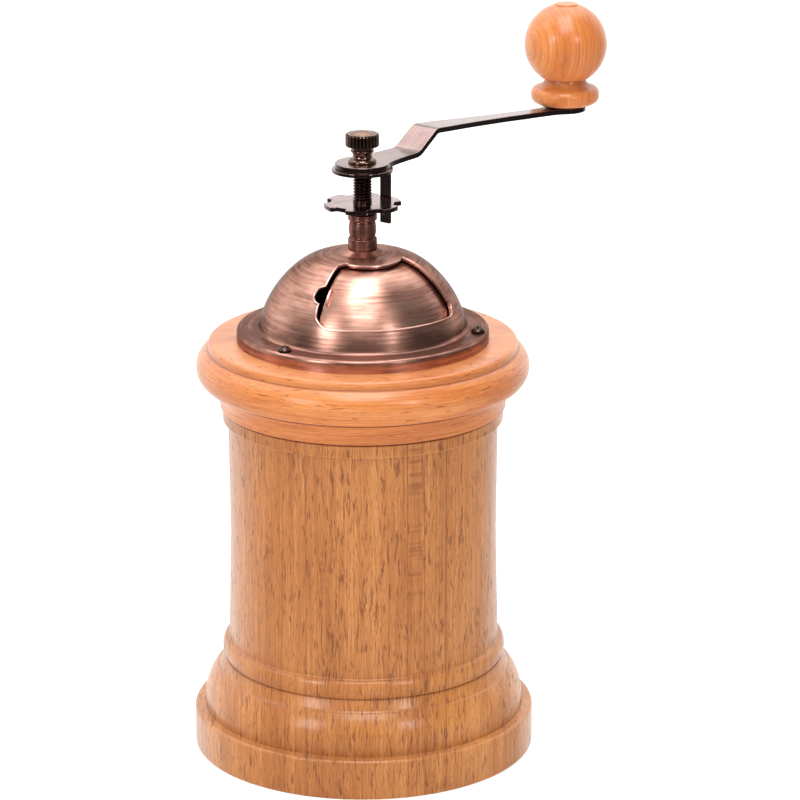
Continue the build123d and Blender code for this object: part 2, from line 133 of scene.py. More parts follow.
def cap(radius, low, rise):
    """Arc step of a spherical cap, from its rim at (radius, low) to the axis."""
    sphere = (radius**2 + rise**2) / (2 * rise)
    half = asin(radius / sphere) / 2
    top = low + rise
    return (sphere * sin(half), top - sphere * (1 - cos(half))), (0, top)


def piece(name, mesh, body, slot, *nodes, sharp=35.0):
    """Object from a bmesh in millimetres: shaded smooth between sharp edges, riding on a body."""
    bmesh.ops.scale(mesh, vec=(MM, MM, MM), verts=mesh.verts)
    bmesh.ops.recalc_face_normals(mesh, faces=mesh.faces)
    for face in mesh.faces:
        face.smooth = True
    for edge in mesh.edges:
        edge.smooth = len(edge.link_faces) == 2 and edge.calc_face_angle(0) < radians(sharp)
    data = bpy.data.meshes.new(name)
    mesh.to_mesh(data)
    mesh.free()
    made = bpy.data.objects.new(name, data)
    bpy.context.scene.collection.objects.link(made)
    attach(made, body)
    if nodes:
        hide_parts(*nodes)
    return made


def ring_mesh(rows, count, closed=True):
    """Bmesh of rings of points, each a list of count points, or one point on the axis."""
    mesh = bmesh.new()
    rings = [[mesh.verts.new(p) for p in row] for row in rows]
    for a, b in zip(rings, rings[1:] + rings[:1] if closed else rings[1:]):
        for i in range(count):
            j = (i + 1) % count
            if len(a) == 1 and len(b) == 1:
                break
            corners = [a[0] if len(a) == 1 else a[i]]
            if len(a) > 1:
                corners.append(a[j])
            corners.append(b[0] if len(b) == 1 else b[j])
            if len(b) > 1:
                corners.append(b[i])
            mesh.faces.new(corners)
    return mesh


def lathe(points, count=192, centre=(0.0, 0.0), swell=None):
    """Closed solid turned from outline points (radius, height); swell(angle, r, z) moves r."""
    rows = []
    for r, z in points:
        if r < 1e-6:
            rows.append([(centre[0], centre[1], z)])
            continue
        row = []
        for i in range(count):
            angle = 2 * pi * i / count
            radius = swell(angle, r, z) if swell else r
            row.append((centre[0] + radius * cos(angle), centre[1] + radius * sin(angle), z))
        rows.append(row)
    return ring_mesh(rows, count)


def turned(name, points, body, slot, *nodes, **options):
    """Piece turned from outline points; the options are lathe's."""
    return piece(name, lathe(points, **options), body, slot, *nodes)


def inside(points, loop):
    """Which of the plane's points lie inside a closed loop of points."""
    x, y = points[:, 0], points[:, 1]
    hit = np.zeros(len(points), bool)
    for (ax, ay), (bx, by) in zip(loop, loop[1:] + loop[:1]):
        if ay != by:
            hit ^= ((ay > y) != (by > y)) & (x < ax + (y - ay) * (bx - ax) / (by - ay))
    return hit


def clear_of(points, loops, gap):
    """Which of the points are at least gap from every point of the loops."""
    far = np.ones(len(points), bool)
    for loop in loops:
        for px, py in loop:
            far &= (points[:, 0] - px) ** 2 + (points[:, 1] - py) ** 2 >= gap * gap
    return far


def sheet_mesh(outline, holes, spots, place, thick):
    """Sheet cut to an outline with holes, its flat points bent into space by place(u, v).

    place returns the outer face's point and its outward normal; the inner face lies thick below.
    """
    loops = [outline, *holes]
    points = [p for loop in loops for p in loop]
    edges, start = [], 0
    for loop in loops:
        edges += [(start + i, start + (i + 1) % len(loop)) for i in range(len(loop))]
        start += len(loop)
    spots = np.array(spots)
    near = 0.5 * hypot(*(spots[1] - spots[0]))
    keep = inside(spots, outline) & clear_of(spots, loops, near)
    for hole in holes:
        keep &= ~inside(spots, hole)
    points += [tuple(p) for p in spots[keep]]
    flat, _, faces, *_ = delaunay_2d_cdt([Vector(p) for p in points], edges, [], 0, 1e-7)
    middles = np.array([sum((flat[i] for i in f), Vector((0, 0))) / len(f) for f in faces])
    keep = inside(middles, outline)
    for hole in holes:
        keep &= ~inside(middles, hole)
    kept = [face for face, good in zip(faces, keep) if good]
    mesh = bmesh.new()
    top, bottom = [], []
    for u, v in flat:
        point, normal = place(u, v)
        top.append(mesh.verts.new(point))
        bottom.append(mesh.verts.new(point - normal * thick))
    counts = {}
    for face in kept:
        mesh.faces.new([top[i] for i in face])
        mesh.faces.new([bottom[i] for i in reversed(face)])
        for a, b in zip(face, face[1:] + face[:1]):
            counts.setdefault(frozenset((a, b)), []).append((a, b))
    for sides in counts.values():
        if len(sides) == 1:
            a, b = sides[0]
            mesh.faces.new((top[b], top[a], bottom[a], bottom[b]))
    bmesh.ops.delete(mesh, geom=[v for v in mesh.verts if not v.link_faces], context="VERTS")
    bmesh.ops.remove_doubles(mesh, verts=mesh.verts, dist=1e-4)
    return mesh


# Shader building


class Shader:
    """A material and short calls that add nodes to it; an argument is a value or a socket."""

    def __init__(self, name):
        self.material = bpy.data.materials.new(name)
        self.material.use_nodes = True
        self.tree = self.material.node_tree
        self.surface = self.tree.nodes["Principled BSDF"]
        place = self.node("TexCoord").outputs["Object"]
        self.place = self.vector("SCALE", place, scale=1 / MM)
        self.x, self.y, self.z = self.split(self.place)

    def node(self, kind, values=(), **settings):
        made = self.tree.nodes.new("ShaderNode" + kind)
        for key, value in settings.items():
            setattr(made, key, value)
        for key, value in dict(values).items():
            self.put(made.inputs[key], value)
        return made

    def put(self, socket, value):
        if isinstance(value, bpy.types.NodeSocket):
            self.tree.links.new(value, socket)
        else:
            socket.default_value = value

    def set(self, **values):
        for key, value in values.items():
            self.put(self.surface.inputs[key.replace("_", " ")], value)

    def math(self, operation, a, b=0.0, c=0.0, clamp=False):
        values = {0: a, 1: b, 2: c}
        made = self.node("Math", values, operation=operation, use_clamp=clamp)
        return made.outputs[0]

    def vector(self, operation, a, b=(0, 0, 0), scale=1.0):
        made = self.node("VectorMath", {0: a}, operation=operation)
        if operation == "SCALE":
            self.put(made.inputs["Scale"], scale)
        elif operation != "LENGTH":
            self.put(made.inputs[1], b)
        return made.outputs[1 if operation == "LENGTH" else 0]

    def split(self, vector):
        return self.node("SeparateXYZ", {0: vector}).outputs

    def join(self, x, y, z):
        return self.node("CombineXYZ", {0: x, 1: y, 2: z}).outputs[0]

    def turn(self, angle):
        """The object's coordinates in a frame turned by angle about Z."""
        made = self.node("VectorRotate", {"Vector": self.place, "Angle": -angle})
        return self.split(made.outputs[0])

    def from_axis(self):
        """Distance from the object's upright axis."""
        return self.vector("LENGTH", self.join(self.x, self.y, 0.0))

    def stretched(self, sizes, vector=None):
        """Coordinates in which one unit is sizes millimetres along each axis."""
        scale = tuple(1 / s for s in sizes)
        return self.vector("MULTIPLY", self.place if vector is None else vector, scale)

    def noise(self, vector, detail=2.0, roughness=0.5, seed=None):
        """Noise of unit size, mostly 0.2 to 0.8; a seed is a fourth coordinate."""
        values = {"Vector": vector, "Scale": 1.0, "Detail": detail, "Roughness": roughness}
        made = self.node("TexNoise", values, noise_dimensions="3D" if seed is None else "4D")
        if seed is not None:
            self.put(made.inputs["W"], seed)
        return made.outputs[0]

    def ramp(self, value, *stops):
        """Colour at value between stops of (value, colour)."""
        made = self.node("ValToRGB", {0: value})
        elements = made.color_ramp.elements
        while len(elements) < len(stops):
            elements.new(0.5)
        for element, (at, colour) in zip(elements, stops):
            element.position = at
            element.color = (*colour, 1.0)
        return made.outputs[0]

    def fade(self, value, low, high):
        """0 below low, 1 above high, smooth between; low may be the larger."""
        values = {"Value": value, "From Min": low, "From Max": high}
        made = self.node("MapRange", values, interpolation_type="SMOOTHSTEP")
        return made.outputs[0]

    def near(self, value, centre, outer, inner):
        """1 within inner of centre, 0 beyond outer, smooth between."""
        away = self.math("ABSOLUTE", self.math("SUBTRACT", value, centre))
        return self.fade(away, outer, inner)

    def sway(self, noise, share, total, clamp=False):
        """total moved up and down by a share of the noise about its middle."""
        return self.math("MULTIPLY_ADD", self.math("SUBTRACT", noise, 0.5), share, total, clamp)

    def mix(self, factor, a, b):
        made = self.node("Mix", data_type="RGBA")
        a, b = (v if isinstance(v, bpy.types.NodeSocket) else (*v, 1.0) for v in (a, b))
        for socket, value in zip((0, 6, 7), (factor, a, b)):
            self.put(made.inputs[socket], value)
        return made.outputs[2]

    def bump(self, height, distance, strength):
        values = {"Height": height, "Distance": distance * MM, "Strength": strength}
        return self.node("Bump", values).outputs[0]


def srgb(red, green, blue):
    """Linear colour from display values out of 255."""
    return tuple(
        v / 255 / 12.92 if v <= 10 else ((v / 255 + 0.055) / 1.055) ** 2.4
        for v in (red, green, blue)
    )


# Materials


# Beech: turn of the glued boards about the axis, offset of one strip's figure from the next, and
# how dark the figure is drawn
GRAIN_AZIMUTH = radians(-19.0)
STAVE_OFFSET, STAVE_STEP, STAVE_TONE = 37.7, 0.381, 0.08
RAY_DARK, TICK_DARK, BAR_DARK, JOINT_DARK = 0.58, 0.36, 0.34, 0.40


def beech(name, light, base, deep, fleck_and_shade, along="Z", staves=(), flecks=1.0, lean=0.0,
          lines=(), ladder=None):
    """Oiled beech. along is the grain's axis; staves are the glued strips' edges across it.

    lines are turned grooves and seams with painted shade, as (height, strength of the shade, least
    radius);
    ladder is the strip between two edges that was sawn radially and shows its rays as short level
    bars.
    """
    s = Shader(name)
    u, v, z = s.turn(GRAIN_AZIMUTH + lean)
    level = z
    groove_shade = 0.0
    radius = s.from_axis()
    # Painted shade: each turned groove or seam gets a dark band, on the outer faces only
    for height, strength, least in lines:
        near = s.math("MULTIPLY", s.near(z, height, 0.30, 0.06),
                      s.math("GREATER_THAN", radius, least))
        groove_shade = s.math("MAXIMUM", groove_shade, s.math("MULTIPLY", near, strength))
    if along == "X":
        u, v, z = z, v, u
    across = u
    stave = joints = 0.0
    for edge in staves:
        stave = s.math("ADD", stave, s.math("GREATER_THAN", u, edge))
        joints = s.math("MAXIMUM", joints, s.near(u, edge, 0.20, 0.04))
    shift = s.math("MULTIPLY", stave, STAVE_OFFSET)
    wavy = s.noise(s.join(s.math("DIVIDE", u, 9.0), shift, s.math("DIVIDE", z, 40.0)), 1.0)
    u = s.math("ADD", u, s.math("MULTIPLY", s.math("SUBTRACT", wavy, 0.5), 1.6))
    place = s.join(u, s.math("ADD", v, shift), s.math("ADD", z, shift))

    # Tone: broad bands, long streaks, fine fibres and one step per strip
    streak = s.noise(s.stretched((0.55, 9.0, 34.0), place), 3.0, 0.6)
    fibre = s.noise(s.stretched((0.20, 2.0, 3.6), place), 2.0, 0.6)
    tone = s.sway(s.noise(s.stretched((9.0, 30.0, 120.0), place)), 0.60, 0.5)
    tone = s.sway(fibre, 0.42, s.sway(streak, 0.60, tone))
    step = s.math("FRACT", s.math("MULTIPLY", stave, STAVE_STEP))
    tone = s.math("MULTIPLY_ADD", s.math("SUBTRACT", step, 0.45), STAVE_TONE, tone)
    colour = s.ramp(tone, (0.28, deep), (0.50, base), (0.72, light))

    # Rays: thin dark dashes along the grain, crowded in places and towards the middle
    warp = s.noise(s.stretched((3.0, 6.0, 2.6), place), 2.0, 0.6)
    bent = s.join(s.math("MULTIPLY_ADD", warp, 1.1, u), s.math("ADD", v, shift), z)
    crowd = s.noise(s.stretched((6.0, 20.0, 26.0), place))
    need = s.math("MULTIPLY_ADD", crowd, -0.16, 0.80 - 0.075 * flecks)
    if along == "Z":
        need = s.math("MULTIPLY_ADD", s.near(across, 3.0, 30.0, 14.0), -0.035, need)
    large = s.math("SUBTRACT", s.noise(s.stretched((0.42, 4.0, 4.6), bent), 1.0), need)
    small = s.math("SUBTRACT", s.noise(s.stretched((0.25, 2.5, 2.6), bent), 1.0), need)
    dark = s.math("MAXIMUM", s.math("MULTIPLY", s.fade(large, -0.01, 0.035), RAY_DARK),
                  s.math("MULTIPLY", s.fade(small, 0.0, 0.07), TICK_DARK))
    if ladder:
        low, high = ladder
        strip = s.math("MULTIPLY", s.fade(across, low, low + 0.7),
                       s.fade(across, high, high - 1.2))
        strip = s.math("MULTIPLY", strip, s.fade(level, 30.0, 72.0))
        bars = s.noise(s.join(s.math("DIVIDE", u, 16.0), shift, s.math("DIVIDE", z, 0.8)), 0.0)
        breaks = s.noise(s.stretched((30.0, 30.0, 9.0), place), 1.0)
        bars = s.math("MULTIPLY", s.fade(bars, 0.52, 0.62), s.fade(breaks, 0.25, 0.50))
        dark = s.math("MULTIPLY", dark, s.math("SUBTRACT", 1.0, strip))
        dark = s.math("MULTIPLY_ADD", s.math("MULTIPLY", bars, strip), BAR_DARK, dark)
    # Rays, glue joints and the painted shade in the grooves each draw the colour towards the dark
    # fleck colour
    for depth in (dark, s.math("MULTIPLY", joints, JOINT_DARK), groove_shade):
        colour = s.mix(depth, colour, fleck_and_shade)

    ridge = s.math("MULTIPLY_ADD", dark, -0.8, s.math("MULTIPLY", fibre, 0.5))
    gloss = s.math("MULTIPLY_ADD", dark, 0.16, s.math("MULTIPLY_ADD", streak, 0.10, 0.34))
    s.set(Base_Color=colour, Roughness=gloss, Normal=s.bump(ridge, 0.05, 0.30))
    s.set(Specular_IOR_Level=0.4, Coat_Weight=0.5, Coat_Roughness=0.22)
    s.set(Sheen_Weight=0.20, Sheen_Roughness=0.45, Sheen_Tint=(1.0, 0.92, 0.84, 1.0))
    s.set(Subsurface_Weight=0.04, Subsurface_Radius=(2.2 * MM, 1.0 * MM, 0.5 * MM))
    return s.material


# Painted shade for the sheets' sideways faces, and the oxide in the knurl's grooves
SIDE_SHADE, KNURL_OXIDE = srgb(34, 24, 22), srgb(26, 18, 14)


def brushed(name, bright, base, stain, rough=0.30, stained=0.6, fine=0.11, grain="rings",
            aniso=0.55, coat=0.15, rim=False, grazing=0.2, knurl=None, crease=None):
    """Lacquered antique plate over brushed metal; rings run round the axis, lines along the crank.

    stained is the share kept of the three tones' contrast; fine is the scratches' width; rim
    paints shade on the sheet's sideways-facing sides; grazing is the share of light kept at a
    grazing angle; knurl is the radius of the ridges, and the grooves between them hold dark oxide;
    crease is the height of the fold towards which shade is painted.
    """
    s = Shader(name)
    if grain == "rings":
        level = s.math("ADD", s.math("MULTIPLY", s.z, 0.82),
                       s.math("MULTIPLY", s.from_axis(), -0.57))
        low = s.vector("SCALE", s.join(s.x, s.y, 0.0), scale=1 / 16.0)
    else:
        along, level, _ = s.turn(CRANK_ANGLE)
        low = s.join(s.math("DIVIDE", along, 9.0), 0.0, s.math("DIVIDE", s.z, 9.0))
    streak = s.noise(low, 2.0, 0.5, s.math("DIVIDE", level, fine))
    band = s.noise(low, 2.0, 0.6, s.math("DIVIDE", level, 0.9))
    cloud = s.noise(s.stretched((11.0, 11.0, 5.0)), 3.0, 0.6)
    mark = s.sway(streak, 0.5, s.sway(band, 0.9, cloud))
    # Painted shade: the colour darkens towards the fold at the crease height
    if crease:
        mark = s.math("MULTIPLY_ADD", s.near(s.z, crease, 4.5, 0.3), -0.24, mark)
    colour = s.ramp(mark, (0.26, stain), (0.50, base), (0.78, bright))
    colour = s.mix(stained, base, colour)
    # Painted shade: faces that turn sideways are drawn towards a near-black colour
    if rim:
        facing = s.split(s.node("TexCoord").outputs["Normal"])[2]
        side = s.fade(s.math("ABSOLUTE", facing), 0.75, 0.35)
        colour = s.mix(s.math("MULTIPLY", side, 0.80), colour, SIDE_SHADE)
    if knurl:
        reach = s.from_axis()
        groove = s.math("MULTIPLY", s.fade(reach, knurl - 0.04, knurl - 0.20),
                        s.fade(reach, knurl - 0.52, knurl - 0.44))
        colour = s.mix(s.math("MULTIPLY", groove, 0.9), colour, KNURL_OXIDE)
    gloss = s.sway(mark, -0.14, rough, clamp=True)
    s.set(Base_Color=colour, Roughness=gloss, Metallic=1.0)
    s.set(Normal=s.bump(streak, 0.012, 0.16), Specular_Tint=(grazing, grazing, grazing, 1.0))
    s.set(Anisotropic=aniso, Anisotropic_Rotation=0.25, Coat_Weight=coat, Coat_Roughness=0.16)
    if aniso:
        tangent = s.node("Tangent", direction_type="RADIAL", axis="Z")
        s.set(Tangent=tangent.outputs[0])
    return s.material


def steel(name, base, rough):
    """Plain or blackened metal, slightly mottled."""
    s = Shader(name)
    wear = 0.25
    mottle = s.noise(s.stretched((0.8, 0.8, 0.8)), 3.0, 0.6)
    colour = s.mix(s.fade(mottle, 0.35, 0.75), base, tuple(min(1.0, c * 1.8) for c in base))
    gloss = s.math("MULTIPLY_ADD", mottle, wear, rough - wear / 2)
    s.set(Base_Color=colour, Roughness=gloss, Metallic=1.0)
    s.set(Normal=s.bump(mottle, 0.02, 0.3))
    return s.material


# The lines paint shade into the groove under the bead and into the seam under the collar
body_wood = beech("body_beech", srgb(214, 147, 84), srgb(190, 120, 59), srgb(160, 92, 40),
                  srgb(96, 40, 14), staves=(-15.3, 11.7, 16.2, 22.0), ladder=(11.7, 16.2),
                  lines=((25.25, 0.25, 30.0), (96.25, 0.95, 37.3)))
# The lines paint shade into the collar's seam and its two steps
head_wood = beech("head_beech", srgb(224, 148, 84), srgb(206, 122, 60), srgb(178, 94, 40),
                  srgb(104, 38, 14), along="X", flecks=0.35, lean=0.12,
                  lines=((96.45, 0.9, 38.1), (102.2, 0.5, 30.0), (112.35, 0.45, 30.0)))
knob_wood = beech("knob_beech", srgb(228, 152, 86), srgb(212, 126, 60), srgb(188, 100, 44),
                  srgb(140, 70, 36), flecks=0.0, lean=0.4)
copper = brushed("antique_copper", srgb(240, 198, 180), srgb(202, 148, 130), srgb(88, 58, 50),
                 rough=0.34, coat=0.28, crease=119.2)
post_copper = brushed("post_copper", srgb(190, 140, 124), srgb(168, 118, 106), srgb(96, 64, 56),
                      rough=0.34, fine=0.3, coat=0.2)
# Paler copy of the copper: a painted highlight for the window's bead and the shutter's lip
highlit_copper = brushed("highlit_copper", srgb(246, 214, 204), srgb(232, 186, 172),
                      srgb(196, 140, 124), rough=0.36, aniso=0.0, coat=0.2)
dark_copper = brushed("dark_copper", srgb(206, 182, 178), srgb(172, 144, 140),
                      srgb(120, 92, 88), rough=0.13, grain="lines", aniso=0.0, coat=0.3,
                      rim=True, grazing=1.0)
arm_copper = brushed("arm_copper", srgb(186, 164, 160), srgb(152, 128, 124),
                     srgb(96, 72, 68), rough=0.16, stained=0.25, grain="lines", aniso=0.0, coat=0.2,
                     rim=True, grazing=1.0)
thumb_copper = brushed("thumb_copper", srgb(190, 162, 142), srgb(128, 98, 82),
                       srgb(60, 40, 34), rough=0.2, fine=0.25, aniso=0.0, coat=0.3, grazing=0.9,
                       knurl=4.5)
blackened = steel("blackened_steel", srgb(66, 50, 46), 0.26)
plain_steel = steel("plain_steel", srgb(150, 150, 152), 0.32)
burr_steel = steel("burr_steel", srgb(112, 112, 114), 0.42)


def paint(material, *pieces):
    """Gives the pieces one material in place of any they have."""
    for each in pieces:
        each.data.materials.clear()
        each.data.materials.append(material)


# Wooden pieces


def make_column():
    """Plinth, moulding, bead, column with its scored rim, and the grounds cup inside."""
    cup_r, cup_floor, mouth_r, mouth_floor = 31.0, 14.0, 33.2, 88.3
    top = RIM_TOP
    points = profile(
        (0.0, 0.0),
        (FOOT_R - 0.6, 0.0),
        ((FOOT_R - 0.18, 0.18), (FOOT_R, 0.6)),
        (FOOT_R, 10.1),
        ((FOOT_R - 0.26, 10.74), (FOOT_R - 0.9, 11.0)),
        (43.6, 11.05),
        (43.45, 10.95),
        (43.35, 11.15),
        ((42.95, 17.2), (40.35, 21.8)),
        ((40.05, 22.05), (39.85, 22.1)),
        ((39.5, 22.45), (39.2, 23.0)),
        (37.95, 25.0),
        ((37.6, 25.25), (37.95, 25.55)),
        ((38.7, 27.85), (38.0, 30.1)),
        ((37.5, 30.35), (37.35, 30.4)),
        ((37.0, 30.6), (36.88, 31.1)),
        ((36.2, 60.0), (36.5, 91.9)),
        (36.55, 92.35),
        ((36.75, 92.5), (37.1, 92.55)),
        ((37.75, 92.75), (37.9, 93.4)),
        (37.9, top - 0.75),
        ((37.8, top - 0.45), (37.5, top - 0.35)),
        (36.2, top - 0.3),
        (36.2, top),
        (mouth_r, top),
        (mouth_r, mouth_floor),
        (cup_r, mouth_floor),
        (cup_r, cup_floor + 2.5),
        ((cup_r - 0.73, cup_floor + 0.73), (cup_r - 2.5, cup_floor)),
        (0.0, cup_floor),
        step=5.0,
    )
    made = turned("beech_column", points, "container", "body_wood", "plinth", "moulding",
                  "body_column", count=320)
    paint(body_wood, made)


def make_collar():
    """Collar with its cove, torus and step, the spigot below and the bean bowl inside."""
    spigot_r, spigot_low, seat_z = 32.9, 88.8, 117.2
    throat_r, throat_top, bowl_r = 17.0, 98.0, 27.2
    points = profile(
        (throat_r, spigot_low),
        (spigot_r, spigot_low),
        (spigot_r, RIM_TOP),
        (38.15, RIM_TOP),
        ((38.48, RIM_TOP + 0.12), (38.6, RIM_TOP + 0.45)),
        ((39.05, 99.4), (40.25, 101.9)),
        (40.15, 102.15),
        ((41.3, 102.75), (42.9, 103.2)),
        ((COLLAR_R, 107.0), (42.4, 112.1)),
        (41.95, 112.28),
        (41.75, 112.4),
        (41.75, COLLAR_TOP - 1.0),
        ((41.45, COLLAR_TOP - 0.3), (40.75, COLLAR_TOP)),
        (spigot_r, COLLAR_TOP),
        (spigot_r, seat_z),
        (bowl_r, seat_z),
        (bowl_r, COLLAR_TOP),
        (throat_r, throat_top),
        step=5.0,
    )
    made = turned("beech_collar", points, "head", "head_wood", "head_collar", count=320)
    paint(head_wood, made)


def make_knob():
    """Ball on a cove neck and rounded foot, with the plug that hides its pin."""
    ball, middle, bore, plug = 11.6, 180.7, 2.05, 3.2
    centre = (KNOB_AT.x, KNOB_AT.y)
    foot = KNOB_FOOT
    points = profile(
        (bore, foot),
        (7.9, foot),
        ((9.35, 164.95), (9.65, 166.4)),
        ((9.2, 167.95), (8.05, 168.65)),
        ((6.2, 169.8), (5.6, 171.6)),
        ((5.95, 172.6), (6.7, middle - sqrt(ball**2 - 6.7**2))),
        ((ball, middle), (plug + 0.12, middle + sqrt(ball**2 - (plug + 0.12) ** 2))),
        (plug + 0.02, 191.6),
        (plug + 0.02, 184.9),
        (bore, 184.9),
        step=4.0,
    )
    knob = turned("beech_knob", points, "knob", "knob_wood", "knob", count=192, centre=centre)
    points = profile(
        (0.0, 186.8),
        (plug, 186.8),
        (plug, PLUG_TOP - 0.35),
        ((plug - 0.15, PLUG_TOP - 0.15), (plug - 0.45, PLUG_TOP - 0.08)),
        (0.0, PLUG_TOP),
        step=15.0,
    )
    button = turned("beech_plug", points, "knob", "knob_wood", "knob_plug", count=96, centre=centre)
    paint(knob_wood, knob, button)


# Hopper dome and its shutter


TURN_SCALE = 22.0  # flat millimetres per radian round the axis


class Shell:
    """The dome's outer line, set in by a distance, as arc length v against radius and height.

    start is the line's points before the crown, and end those from the foot of its flank on.
    """

    def __init__(self, inset, start, end):
        shoulder_z = CROWN_Z - SHOULDER_R
        tangent = asin((shoulder_z - DOME_Z) / (DOME_R - SHOULDER_R))
        sphere, shoulder = DOME_R - inset, SHOULDER_R - inset
        steps = 90
        line = list(start)
        for i in range(steps + 1):
            a = pi / 2 - (pi / 2 - tangent) * i / steps
            line.append((SHOULDER_AT + shoulder * cos(a), shoulder_z + shoulder * sin(a)))
        low = asin((end[0][1] - DOME_Z) / sphere)
        for i in range(1, steps + 1):
            a = tangent - (tangent - low) * i / steps
            line.append((sphere * cos(a), DOME_Z + sphere * sin(a)))
        line += list(end[1:])
        self.line = line
        self.lengths = [0.0]
        for a, b in zip(line, line[1:]):
            self.lengths.append(self.lengths[-1] + hypot(b[0] - a[0], b[1] - a[1]))
        self.total = self.lengths[-1]

    def at(self, v):
        """Radius, height and outward normal at arc length v."""
        v = min(max(v, 0.0), self.total)
        low, high = 0, len(self.lengths) - 1
        while high - low > 1:
            middle = (low + high) // 2
            low, high = (middle, high) if self.lengths[middle] <= v else (low, middle)
        (ar, az), (br, bz) = self.line[low], self.line[high]
        run = self.lengths[high] - self.lengths[low]
        t = (v - self.lengths[low]) / run
        return ar + (br - ar) * t, az + (bz - az) * t, (-(bz - az) / run, (br - ar) / run)

    def at_elevation(self, elevation):
        """Arc length at an elevation seen from the sphere's centre."""
        low, high = 0.0, self.total
        for _ in range(40):
            middle = (low + high) / 2
            r, z, _ = self.at(middle)
            low, high = (middle, high) if atan2(z - DOME_Z, r) > elevation else (low, middle)
        return low

    def place(self, u, v):
        """Point and outward normal for flat coordinates."""
        r, z, (nr, nz) = self.at(v)
        angle = u / TURN_SCALE
        c, s = cos(angle), sin(angle)
        return Vector((r * c, r * s, z)), Vector((nr * c, nr * s, nz))


def corner(shell, angle, v, side, rise, radius, count=8):
    """Rounded corner of the window, from its meridian side to its level side or back."""
    r = shell.at(v)[0]
    points = []
    for i in range(count + 1):
        t = pi / 2 * i / count
        across = radius * (1 - cos(t)) / r
        points.append(((angle + side * across) * TURN_SCALE, v + rise * radius * (1 - sin(t))))
    return points


def window_outline(shell):
    """The window's edge in flat coordinates, with the finger notch in its left side."""
    left, right = WINDOW_MID - WINDOW_HALF, WINDOW_MID + WINDOW_HALF
    high, low = shell.at_elevation(WINDOW_HIGH), shell.at_elevation(WINDOW_LOW)
    notch_v = shell.at_elevation(NOTCH_ELEVATION)
    notch_r = shell.at(notch_v)[0]
    reach = 0.6
    half = asin(reach / NOTCH_R)
    notch = []
    for i in range(25):
        a = pi / 2 + half + (pi - 2 * half) * i / 24
        across = (reach + NOTCH_R * cos(a)) / notch_r
        notch.append(((left + across) * TURN_SCALE, notch_v + NOTCH_R * sin(a)))
    rise = WINDOW_PEAKS
    top = [(WINDOW_MID + WINDOW_HALF * t / 12, high - rise * (t / 12) ** 2) for t in range(-9, 10)]
    loop = corner(shell, left, high - rise, 1, 1, 2.0)[::-1]
    loop += notch[::-1]
    loop += corner(shell, left, low, 1, -1, 5.0)
    loop += corner(shell, right, low, -1, -1, 3.5)[::-1]
    loop += corner(shell, right, high - rise, -1, 1, 1.2)
    loop += [(angle * TURN_SCALE, v) for angle, v in reversed(top)]
    return spread(loop, 0.35)


def spread(loop, gap):
    """The loop with points added, so that none is further than gap from the next."""
    points = []
    for a, b in zip(loop, loop[1:] + loop[:1]):
        count = max(1, ceil(hypot(b[0] - a[0], b[1] - a[1]) / gap))
        points += [(a[0] + (b[0] - a[0]) * i / count, a[1] + (b[1] - a[1]) * i / count)
                   for i in range(count)]
    return points


def grid(low, high, across, up):
    """Points of a regular grid between two corners."""
    return [
        (low[0] + (high[0] - low[0]) * i / across, low[1] + (high[1] - low[1]) * j / up)
        for j in range(up + 1) for i in range(across + 1)
    ]


def make_dome():
    """Pressed dome: neck, crown, flank, flange and skirt in one sheet, with its window."""
    neck = profile((3.02, NECK_Z), (4.1, NECK_Z), ((5.0, 138.95), (SHOULDER_AT - 0.4, CROWN_Z)),
                   step=8.0)
    r, z = DOME_FLANGE_R, FLANGE_Z
    foot_z = z + 1.0
    foot_r = sqrt(DOME_R**2 - (foot_z - DOME_Z) ** 2)
    skirt = profile((foot_r, foot_z), ((foot_r + 0.3, z + 0.3), (foot_r + 1.0, z)),
                    (r - 0.9, z), ((r - 0.26, z - 0.26), (r, z - 0.9)), (r, COLLAR_TOP), step=10.0)
    shell = Shell(0.0, neck, skirt)
    edge = pi * TURN_SCALE
    columns, rows = 300, 110
    side = [(edge, shell.total * j / rows) for j in range(rows + 1)]
    far = [(edge - 2 * edge * i / columns, shell.total) for i in range(1, columns)]
    back = [(-edge, shell.total * (rows - j) / rows) for j in range(rows + 1)]
    near = [(-edge + 2 * edge * i / columns, 0.0) for i in range(1, columns)]
    spots = grid((-edge, 0.0), (edge, shell.total), columns, rows)
    outline = side + far + back + near
    window = window_outline(shell)
    mesh = sheet_mesh(outline, [window], spots, shell.place, SHEET)
    made = piece("copper_dome", mesh, "head", "antique_copper", "hopper_dome", sharp=50)
    paint(copper, made)
    # Raised bead round the window, in the paler copper as a painted highlight
    rim = tube_along([shell.place(u, v)[0] for u, v in window], 0.32)
    rim = piece("window_edge", rim, "head", "antique_copper")
    paint(highlit_copper, rim)


def tube_along(path, radius, sides=8):
    """Closed tube round a closed path of points."""
    count = len(path)
    rows = []
    for i, point in enumerate(path):
        ahead = (path[(i + 1) % count] - path[i - 1]).normalized()
        out = ahead.cross(Vector((0, 0, 1)).cross(ahead)).normalized()
        aside = ahead.cross(out)
        rows.append([point + radius * (cos(2 * pi * k / sides) * out
                                       + sin(2 * pi * k / sides) * aside) for k in range(sides)])
    return ring_mesh(rows, sides)


